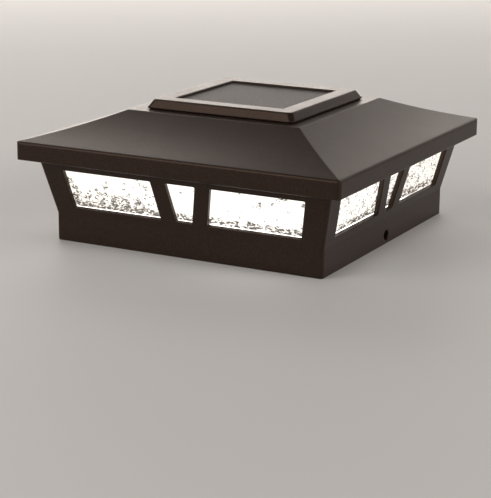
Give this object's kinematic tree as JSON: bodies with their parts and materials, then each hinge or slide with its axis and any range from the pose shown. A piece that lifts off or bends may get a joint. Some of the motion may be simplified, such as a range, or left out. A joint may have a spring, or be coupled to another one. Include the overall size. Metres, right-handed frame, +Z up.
{
  "type": "solar post cap light",
  "caption": "Square post cap that is also a solar lantern: a skirt over the post, glazed flared walls, a hipped roof that lifts off, and a solar panel in its flat top.",
  "frame": {"origin": "centre of the pad under the deck that rests on the post's end", "axes": "+Z up along the post, -Y the front, +X the right side with one of the two fixing holes"},
  "size_m": [0.192, 0.192, 0.0758],
  "materials": {
    "bronze_paint": "cast aluminium under a fine textured satin powder coat, dark bronze",
    "seeded_glass": "seeded, clear, lit from inside",
    "panel_cover": "clear, fine satin",
    "solar_cell": "grey crystalline",
    "white_plastic": "moulded, satin",
    "black_plastic": "moulded, fine texture",
    "rubber": "matt",
    "foam": "closed-cell foam",
    "zinc_steel": "zinc plated",
    "contact_nickel": "nickel plated",
    "board_green": "solder mask",
    "board_white": "solder mask",
    "component_black": "moulded",
    "cell_wrap": "printed sleeve, no lettering",
    "led_lens": "water clear, lit",
    "wire_red": "insulation",
    "wire_black": "insulation",
    "wire_white": "insulation"
  },
  "bodies": {
    "base": {"base_casting": "bronze_paint", "post_adaptor": "black_plastic", "pane_front": "seeded_glass", "pane_right": "seeded_glass", "pane_back": "seeded_glass", "pane_left": "seeded_glass", "pane_seals": "rubber", "pane_clips": "zinc_steel", "clip_screws": "zinc_steel", "reflector_tray": "white_plastic", "tray_screws": "zinc_steel", "peg_grommets": "rubber", "roof_gasket": "foam"},
    "roof": {"roof_casting": "bronze_paint", "locating_pegs": "zinc_steel", "panel_bezel": "bronze_paint", "bezel_screws": "zinc_steel", "panel_gasket": "foam", "panel_backing": "board_white", "solar_cells": "solar_cell", "panel_glass": "panel_cover", "lamp_carrier": "white_plastic", "carrier_screws": "zinc_steel", "battery_box": "black_plastic", "box_screws": "zinc_steel", "battery_cell": "cell_wrap", "contact_plate": "contact_nickel", "contact_spring": "contact_nickel", "door_hinge_pin": "zinc_steel", "control_board": "board_green", "board_screws": "zinc_steel", "board_components": "component_black", "switch_body": "black_plastic", "led_boards": "board_white", "leds": "led_lens", "led_leads": "wire_white", "panel_lead_red": "wire_red", "panel_lead_black": "wire_black", "battery_lead_red": "wire_red", "battery_lead_black": "wire_black"},
    "battery_door": {"battery_door": "white_plastic"},
    "switch_knob": {"switch_knob": "black_plastic"}
  },
  "joints": [
    {"name": "roof_lift", "type": "slide", "parent": "base", "child": "roof", "axis": [0, 0, 1], "range_m": [0, 0.05]},
    {"name": "battery_door_hinge", "type": "hinge", "parent": "roof", "child": "battery_door", "pos_m": [0, -0.0104, 0.0264], "axis": [-1, 0, 0], "range_deg": [0, 90]},
    {"name": "switch_slide", "type": "slide", "parent": "roof", "child": "switch_knob", "axis": [1, 0, 0], "range_m": [0, 0.003]}
  ]
}
